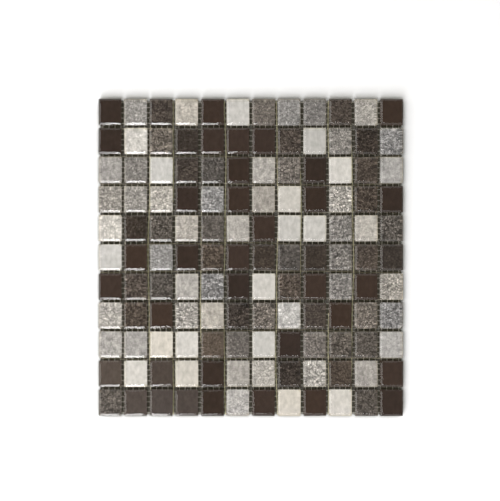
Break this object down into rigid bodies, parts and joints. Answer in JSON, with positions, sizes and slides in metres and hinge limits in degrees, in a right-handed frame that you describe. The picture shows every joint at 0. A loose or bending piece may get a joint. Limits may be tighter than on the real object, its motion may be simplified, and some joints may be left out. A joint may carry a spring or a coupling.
{
  "type": "glass mosaic pool tile sheet",
  "caption": "Flat sheet of small cushion-edged glass mosaic chips in mixed brown, pearl and glitter finishes, glued in an open-jointed grid on a glass-fibre net, for lining pools.",
  "frame": {"origin": "middle of the sheet at the underside of the net, on the surface it lies on", "axes": "+Z out of the glass face, +Y up the sheet as in the picture, +X to its right"},
  "size_m": [0.2976, 0.31, 0.0085],
  "materials": {
    "espresso_glass": "gloss",
    "taupe_glass": "gloss",
    "ivory_glass": "gloss",
    "pearl_glass": "gloss",
    "silver_glitter_glass": "gloss",
    "grey_glitter_glass": "gloss",
    "graphite_glitter_glass": "gloss",
    "net_yarn": "matte"
  },
  "bodies": {
    "root": {"espresso_chips": "espresso_glass", "taupe_chips": "taupe_glass", "ivory_chips": "ivory_glass", "pearl_chips": "pearl_glass", "silver_glitter_chips": "silver_glitter_glass", "grey_glitter_chips": "grey_glitter_glass", "graphite_glitter_chips": "graphite_glitter_glass", "net_warp_yarns": "net_yarn", "net_weft_yarns": "net_yarn"}
  },
  "joints": []
}
